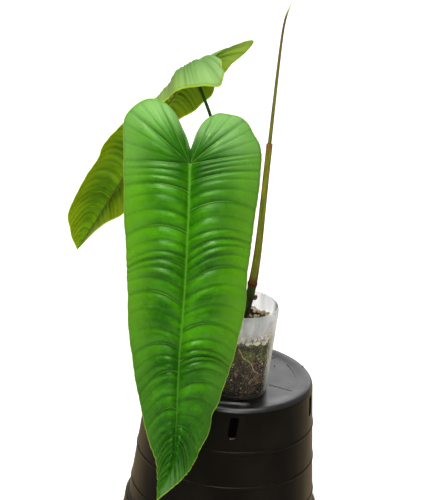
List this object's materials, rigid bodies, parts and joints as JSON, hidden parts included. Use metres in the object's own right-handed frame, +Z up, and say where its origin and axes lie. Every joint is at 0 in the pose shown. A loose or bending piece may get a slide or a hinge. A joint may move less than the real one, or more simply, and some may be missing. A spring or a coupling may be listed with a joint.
{
  "type": "potted philodendron",
  "caption": "Hanging-leaved philodendron with long ribbed heart-shaped leaves and a rolled new leaf, in a clear starter pot on an upturned black nursery pot.",
  "frame": {"origin": "centre of the bounding box at floor level", "axes": "+Z up, +X to the right and +Y away from someone who faces the front leaf"},
  "size_m": [0.287, 0.2388, 0.5704],
  "materials": {
    "black_plastic": "satin",
    "clear_plastic": "satin",
    "potting_mix": "matte",
    "pumice": "matte",
    "bark": "matte",
    "root_tan": "matte",
    "stem_green": "satin",
    "bud_red": "satin",
    "sheath_olive": "satin",
    "spike_olive": "satin",
    "petiole_green": "satin",
    "leaf_green": "gloss",
    "leaf_yellow_green": "satin"
  },
  "bodies": {
    "root": {"display_stand": "black_plastic", "clear_pot": "clear_plastic", "growing_mix": "potting_mix", "stem": "stem_green", "side_bud": "bud_red", "leaf_sheath": "sheath_olive", "new_leaf_spike": "spike_olive", "front_petiole": "petiole_green", "back_petiole": "petiole_green", "front_leaf": "leaf_green", "back_leaf": "leaf_yellow_green", "pumice_01": "pumice", "pumice_02": "pumice", "pumice_03": "pumice", "pumice_04": "pumice", "pumice_05": "pumice", "pumice_06": "pumice", "pumice_07": "pumice", "pumice_08": "pumice", "pumice_09": "pumice", "pumice_10": "pumice", "pumice_11": "pumice", "pumice_12": "pumice", "bark_01": "bark", "bark_02": "bark", "bark_03": "bark", "bark_04": "bark", "bark_05": "bark", "bark_06": "bark", "bark_07": "bark", "bark_08": "bark", "wall_root_1": "root_tan", "wall_root_2": "root_tan", "wall_root_3": "root_tan", "wall_root_4": "root_tan"}
  },
  "joints": []
}
